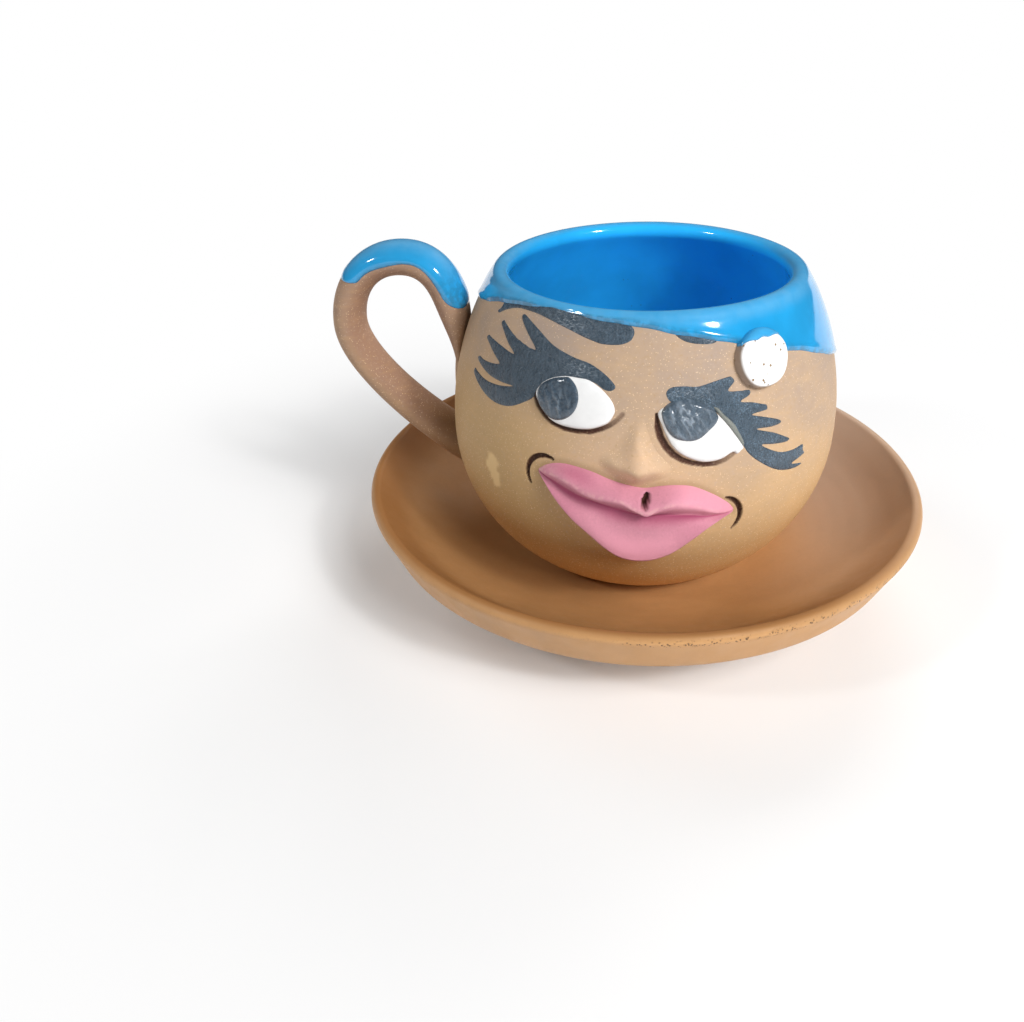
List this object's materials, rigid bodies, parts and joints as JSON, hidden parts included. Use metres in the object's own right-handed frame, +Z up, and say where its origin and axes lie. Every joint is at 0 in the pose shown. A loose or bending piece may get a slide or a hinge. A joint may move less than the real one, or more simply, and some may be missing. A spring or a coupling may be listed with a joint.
{
  "type": "clay coffee cup with a face and saucer",
  "caption": "Round-bellied clay mug with a modelled comic face, a looped strap handle and a blue dip glaze, standing on a wide clay saucer.",
  "frame": {"origin": "centre of the saucer's flat foot, on the table", "axes": "+Z up along the axis of the cup and saucer, -Y the way the face looks, -X the way the handle points"},
  "size_m": [0.1083, 0.103, 0.0613],
  "materials": {
    "saucer_clay": "smooth unglazed terracotta, half matt",
    "cup_clay": "unglazed micaceous clay, matt with fine glittering specks",
    "blue_glaze": "bright blue, high gloss",
    "pink_paint": "matt pink slip over clay",
    "white_paint": "chalky white paint with small pits",
    "pupil_paint": "thick dark blue-grey paint, half gloss, wrinkled",
    "black_paint": "charcoal brush paint, half matt"
  },
  "bodies": {
    "saucer": {"saucer": "saucer_clay"},
    "cup": {"cup_body": "cup_clay", "cup_glaze": "blue_glaze", "handle": "cup_clay", "handle_glaze": "blue_glaze", "nose": "cup_clay", "upper_lip": "pink_paint", "lower_lip": "pink_paint", "left_eye": "white_paint", "right_eye": "white_paint", "left_pupil": "pupil_paint", "right_pupil": "pupil_paint", "left_lashes": "black_paint", "right_lashes": "black_paint", "left_brow": "black_paint", "right_brow": "black_paint", "button": "white_paint", "button_glaze": "blue_glaze"}
  },
  "joints": [
    {"name": "cup_lift", "type": "slide", "parent": "saucer", "child": "cup", "axis": [0, 0, 1], "range_m": [0, 0.07]}
  ]
}
